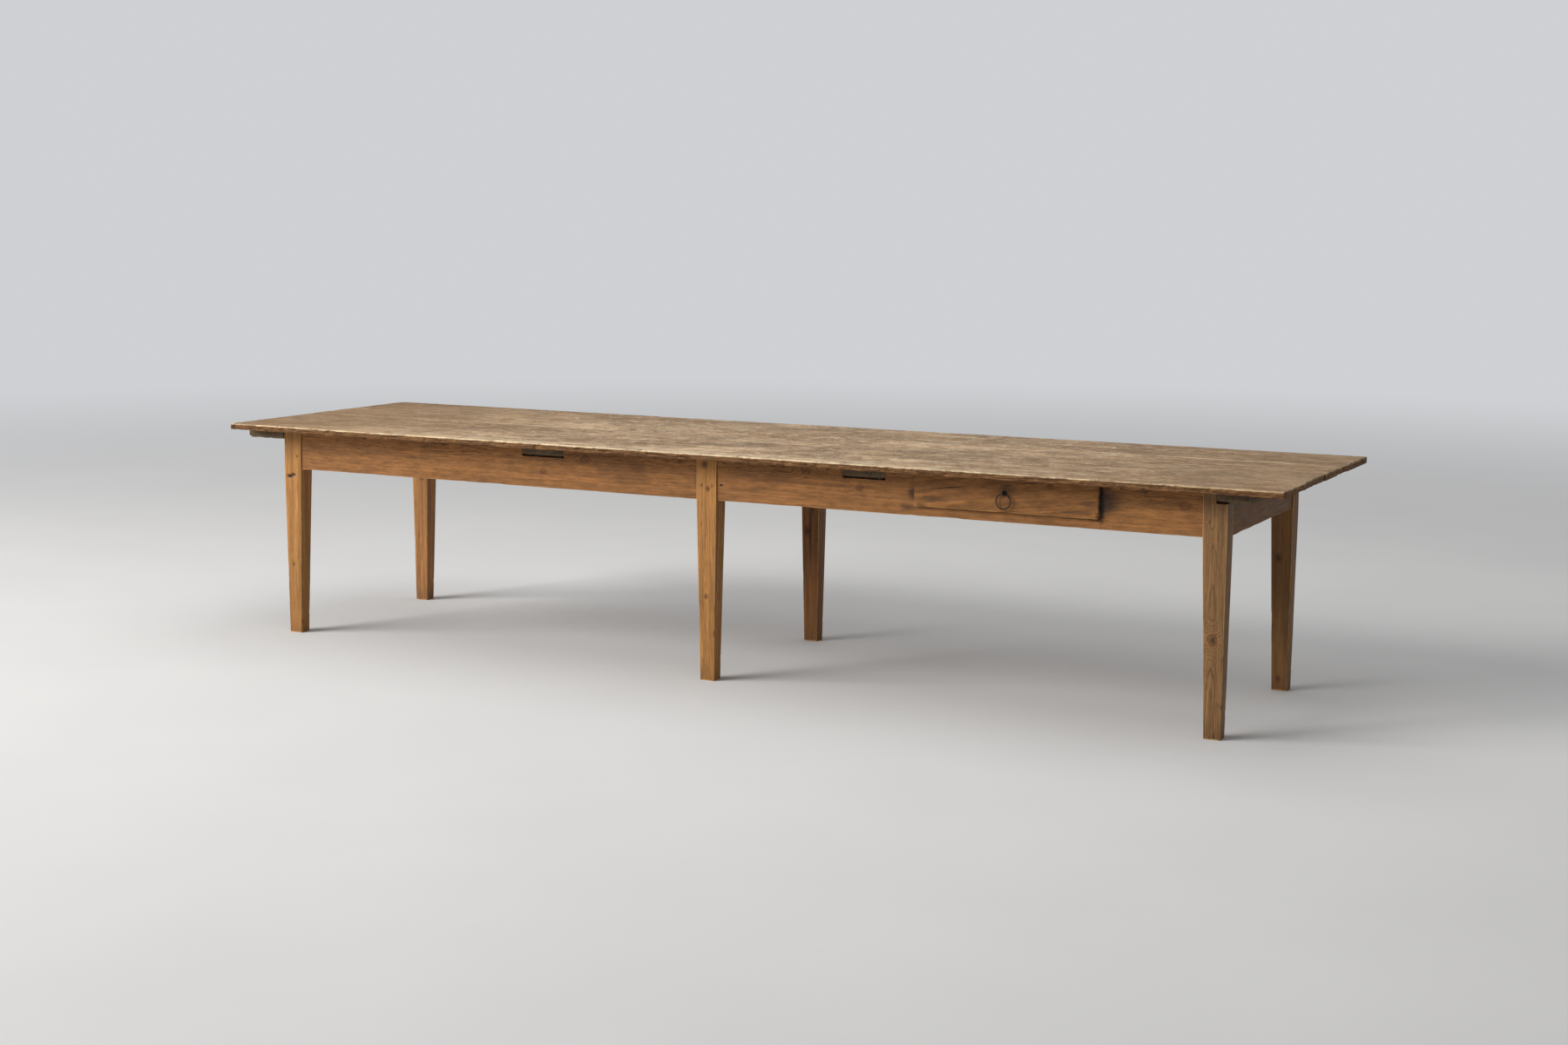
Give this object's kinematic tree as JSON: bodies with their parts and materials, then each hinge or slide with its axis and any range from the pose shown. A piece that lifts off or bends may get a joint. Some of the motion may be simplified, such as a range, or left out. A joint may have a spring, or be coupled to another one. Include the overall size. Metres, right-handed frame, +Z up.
{
  "type": "farmhouse table",
  "caption": "Long plank-topped pine farmhouse table on tapered legs, with pegged rails, cross battens and an apron drawer with an iron ring pull.",
  "frame": {"origin": "on the floor under the middle of the top", "axes": "+X along the length, to the right for someone facing the drawer; -Y is the drawer side; +Z up"},
  "size_m": [3.93, 1.05, 0.78],
  "materials": {
    "top_pine": "dry weathered pine, grey-brown, worn pale along the edge",
    "batten_pine": "rough dark old pine, unfinished",
    "leg_pine": "honey pine with knots and checks, thin matt wax",
    "rail_pine": "reddish pine with coarse figure, thin matt wax",
    "peg_wood": "riven hardwood, end grain",
    "drawer_front_pine": "reddish pine, worn arrises, thin matt wax",
    "inner_pine": "bare pine, unfinished",
    "forged_iron": "blackened wrought iron, dull, lightly rusted"
  },
  "bodies": {
    "table": {"batten_left": "batten_pine", "batten_left_end": "batten_pine", "batten_nails": "forged_iron", "batten_right": "batten_pine", "batten_right_end": "batten_pine", "drawer_runner_left": "inner_pine", "drawer_runner_right": "inner_pine", "drawer_stop_left": "inner_pine", "drawer_stop_right": "inner_pine", "leg_back_left": "leg_pine", "leg_back_middle": "leg_pine", "leg_back_right": "leg_pine", "leg_front_left": "leg_pine", "leg_front_middle": "leg_pine", "leg_front_right": "leg_pine", "rail_back_left": "rail_pine", "rail_back_right": "rail_pine", "rail_end_left": "rail_pine", "rail_end_right": "rail_pine", "rail_front_left": "rail_pine", "rail_front_right": "rail_pine", "rail_middle": "rail_pine", "rail_pegs": "peg_wood", "top_board_back": "top_pine", "top_board_front": "top_pine", "top_board_mid_back": "top_pine", "top_board_mid_front": "top_pine"},
    "drawer": {"drawer_front": "drawer_front_pine", "drawer_side_left": "inner_pine", "drawer_side_right": "inner_pine", "drawer_back": "inner_pine", "drawer_bottom": "inner_pine", "drawer_nails": "forged_iron", "pull_staple": "forged_iron", "pull_rose": "forged_iron"},
    "ring": {"pull_ring": "forged_iron"}
  },
  "joints": [
    {"name": "drawer_slide", "type": "slide", "parent": "table", "child": "drawer", "axis": [0, -1, 0], "range_m": [0, 0.36]},
    {"name": "ring_swing", "type": "hinge", "parent": "drawer", "child": "ring", "pos_m": [1.0585, -0.4392, 0.70405], "axis": [-1, 0, 0], "range_deg": [0, 100]}
  ]
}
